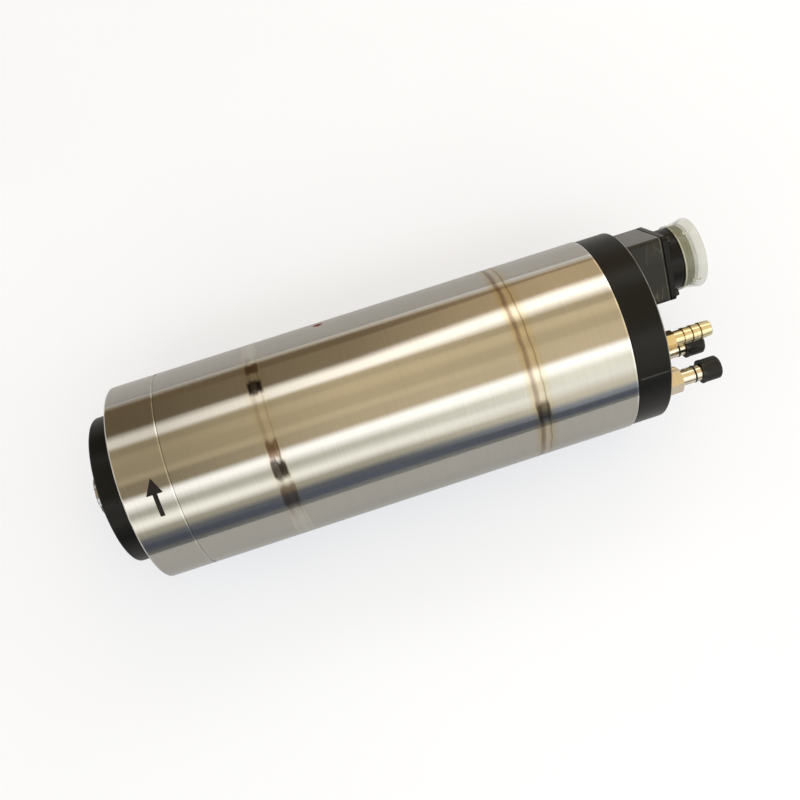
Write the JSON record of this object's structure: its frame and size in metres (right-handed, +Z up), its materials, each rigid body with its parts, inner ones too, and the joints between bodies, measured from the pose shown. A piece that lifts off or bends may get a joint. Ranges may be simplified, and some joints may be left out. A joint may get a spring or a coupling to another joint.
{
  "type": "motor spindle",
  "caption": "Round water-cooled motor spindle with a collet nose, ground steel barrel, black end covers, a capped power socket and rear hose fittings.",
  "frame": {"origin": "middle of the collet's front face, on the tool axis", "axes": "+X along the tool axis from the nose to the rear cover, +Z up as the spindle lies on its side"},
  "size_m": [0.3884, 0.12, 0.12],
  "materials": {
    "ground_steel": "circumferentially ground, with heat tint at the welds",
    "weld_bead": "ground flush, straw and blue heat tint",
    "black_anodised": "satin black",
    "black_casting": "rough black, scuffed",
    "black_screw": "black oxide",
    "black_rubber": "matt",
    "gasket_fibre": "matt sheet",
    "red_sealant": "red sealing lacquer",
    "lamination": "stacked sheets",
    "copper": "enamelled copper",
    "rotor_alloy": "brazed",
    "bearing_steel": "ground and lapped",
    "cage_resin": "fabric-filled resin",
    "turned_steel": "turned and ground",
    "spring_steel": "tempered",
    "dark_nut": "black oxide",
    "bearing_housing_iron": "machined",
    "hard_steel": "hardened and ground",
    "black_shell": "smooth black",
    "brown_insulator": "moulded",
    "contact_gold": "plated",
    "lead_insulation": "silicone sleeve",
    "brass": "turned",
    "pale_brass": "turned, paler and pinker",
    "clear_cap": "translucent moulded",
    "black_cap": "ribbed moulded"
  },
  "bodies": {
    "housing": {"front_cover": "black_anodised", "front_cover_screws": "black_screw", "front_cover_oring": "black_rubber", "front_housing": "ground_steel", "front_housing_screws": "black_screw", "front_housing_oring": "black_rubber", "housing_barrel": "ground_steel", "jacket_sleeve": "ground_steel", "front_weld": "weld_bead", "rear_weld": "weld_bead", "jacket_plug": "red_sealant", "stator_core": "lamination", "stator_windings": "copper", "front_outer_rings": "bearing_steel", "front_outer_spacer": "turned_steel", "rear_outer_rings": "bearing_steel", "rear_outer_spacer": "turned_steel", "preload_ring": "turned_steel", "preload_spring": "spring_steel", "rear_bearing_housing": "bearing_housing_iron", "rear_bearing_housing_screws": "black_screw", "rear_cover_gasket": "gasket_fibre", "rear_cover": "black_anodised", "rear_cover_screws": "black_screw", "socket_box_gasket": "gasket_fibre", "socket_box": "black_casting", "socket_gasket": "black_rubber", "socket_shell": "black_shell", "socket_screws": "black_screw", "socket_insert": "brown_insulator", "socket_pins": "contact_gold", "motor_leads": "lead_insulation", "port_washers": "copper", "coolant_inlet": "pale_brass", "coolant_outlet": "pale_brass", "port_orings": "black_rubber", "seal_air_barb": "brass"},
    "rotor": {"spindle_shaft": "turned_steel", "rotor_core": "lamination", "rotor_cage": "rotor_alloy", "balance_rings": "turned_steel", "front_inner_rings": "bearing_steel", "front_inner_spacer": "turned_steel", "front_locknut": "dark_nut", "rear_inner_rings": "bearing_steel", "rear_inner_spacer": "turned_steel", "rear_locknut": "dark_nut"},
    "front_cages": {"front_ball_cages": "cage_resin", "front_bearing_balls": "bearing_steel"},
    "rear_cages": {"rear_ball_cages": "cage_resin", "rear_bearing_balls": "bearing_steel"},
    "collet_body": {"collet": "hard_steel"},
    "nut_body": {"collet_nut": "hard_steel"},
    "socket_cap_body": {"socket_cap": "clear_cap"},
    "inlet_cap_body": {"inlet_cap": "black_cap"},
    "outlet_cap_body": {"outlet_cap": "black_cap"}
  },
  "joints": [
    {"name": "rotor_spin", "type": "hinge", "parent": "housing", "child": "rotor", "pos_m": [0, 0, 0], "axis": [-1, 0, 0], "continuous": true},
    {"name": "front_cages_spin", "type": "hinge", "parent": "housing", "child": "front_cages", "pos_m": [0, 0, 0], "axis": [-1, 0, 0], "continuous": true},
    {"name": "rear_cages_spin", "type": "hinge", "parent": "housing", "child": "rear_cages", "pos_m": [0, 0, 0], "axis": [-1, 0, 0], "continuous": true},
    {"name": "collet_slide", "type": "slide", "parent": "rotor", "child": "collet_body", "axis": [-1, 0, 0], "range_m": [0, 0.0101]},
    {"name": "nut_turn", "type": "hinge", "parent": "collet_body", "child": "nut_body", "pos_m": [0, 0, 0], "axis": [-1, 0, 0], "range_deg": [0, 3600]},
    {"name": "socket_cap_pull", "type": "slide", "parent": "housing", "child": "socket_cap_body", "axis": [1, 0, 0], "range_m": [0, 0.025]},
    {"name": "inlet_cap_pull", "type": "slide", "parent": "housing", "child": "inlet_cap_body", "axis": [1, 0, 0], "range_m": [0, 0.02]},
    {"name": "outlet_cap_pull", "type": "slide", "parent": "housing", "child": "outlet_cap_body", "axis": [1, 0, 0], "range_m": [0, 0.02]}
  ],
  "couplings": [
    {"joint": "front_cages_spin", "follows": "rotor_spin", "ratio": 0.4205},
    {"joint": "rear_cages_spin", "follows": "rotor_spin", "ratio": 0.4141},
    {"joint": "collet_slide", "follows": "nut_turn", "m_per_rad": 0.00015915}
  ]
}
